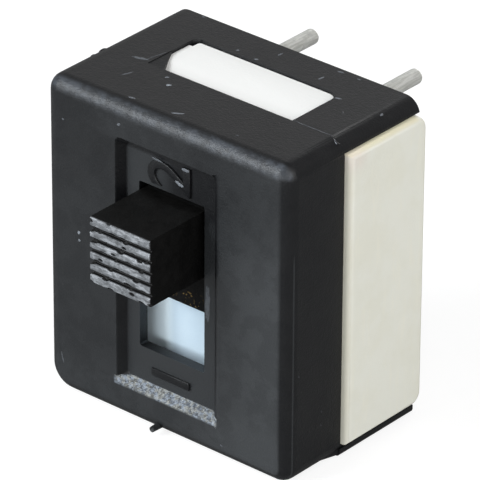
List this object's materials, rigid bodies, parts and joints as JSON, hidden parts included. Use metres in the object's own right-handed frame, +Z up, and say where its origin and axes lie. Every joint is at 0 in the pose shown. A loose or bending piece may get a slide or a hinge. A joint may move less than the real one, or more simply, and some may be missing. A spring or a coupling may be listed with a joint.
{
  "type": "slide switch",
  "caption": "Miniature two-pole slide switch: black clip-on cover over a cream base, ribbed sliding knob in a sunk slot, and straight round pins at the back for a circuit board.",
  "frame": {"origin": "under the middle of the whole switch, knob and pins included, on the plane that the lower plate of the cover stands on", "axes": "+X to the right seen from the knob's side, +Y from the knob towards the pins, +Z up along the slider's travel"},
  "size_m": [0.012, 0.0134, 0.0127],
  "materials": {
    "black_housing": "fine-eroded black moulding, slightly dusty, with glossier rounded edges",
    "black_slider": "deep black moulding with scuffed, paler ribs",
    "cream_base": "cream moulding, smooth and slightly waxy",
    "seal_resin": "dark poured resin, level and glossy",
    "tinned_terminal": "dull tin plating over brass",
    "silvered_contact": "silver plating over copper alloy",
    "plunger_brass": "turned brass",
    "spring_steel": "bright spring wire"
  },
  "bodies": {
    "housing": {"cover": "black_housing", "base": "cream_base", "terminal_seal": "seal_resin", "common_terminal_left": "tinned_terminal", "common_terminal_right": "tinned_terminal", "upper_terminal_left": "tinned_terminal", "upper_terminal_right": "tinned_terminal", "lower_terminal_left": "tinned_terminal", "lower_terminal_right": "tinned_terminal"},
    "slider": {"slider": "black_slider", "plunger_spring_left": "spring_steel", "plunger_spring_right": "spring_steel"},
    "left_plunger": {"plunger_left": "plunger_brass"},
    "right_plunger": {"plunger_right": "plunger_brass"},
    "left_rocker": {"contact_rocker_left": "silvered_contact"},
    "right_rocker": {"contact_rocker_right": "silvered_contact"}
  },
  "joints": [
    {"name": "slider_travel", "type": "slide", "parent": "housing", "child": "slider", "axis": [0, 0, 1], "range_m": [-0.0035, 0]},
    {"name": "left_rocker_tilt", "type": "hinge", "parent": "housing", "child": "left_rocker", "pos_m": [-0.00283, 0.00018, 0.00635], "axis": [1, 0, 0], "range_deg": [0, 18]},
    {"name": "right_rocker_tilt", "type": "hinge", "parent": "housing", "child": "right_rocker", "pos_m": [0.00283, 0.00018, 0.00635], "axis": [1, 0, 0], "range_deg": [0, 18]},
    {"name": "left_plunger_press", "type": "slide", "parent": "slider", "child": "left_plunger", "axis": [0, -1, 0], "range_m": [0, 0.00025], "stiffness_N_per_m": 200, "springref_m": -0.003, "deforming": ["plunger_spring_left"]},
    {"name": "right_plunger_press", "type": "slide", "parent": "slider", "child": "right_plunger", "axis": [0, -1, 0], "range_m": [0, 0.00025], "stiffness_N_per_m": 200, "springref_m": -0.003, "deforming": ["plunger_spring_right"]}
  ],
  "couplings": [
    {"joint": "left_rocker_tilt", "follows": "slider_travel", "rad_per_m": -89.76},
    {"joint": "right_rocker_tilt", "follows": "slider_travel", "rad_per_m": -89.76}
  ]
}
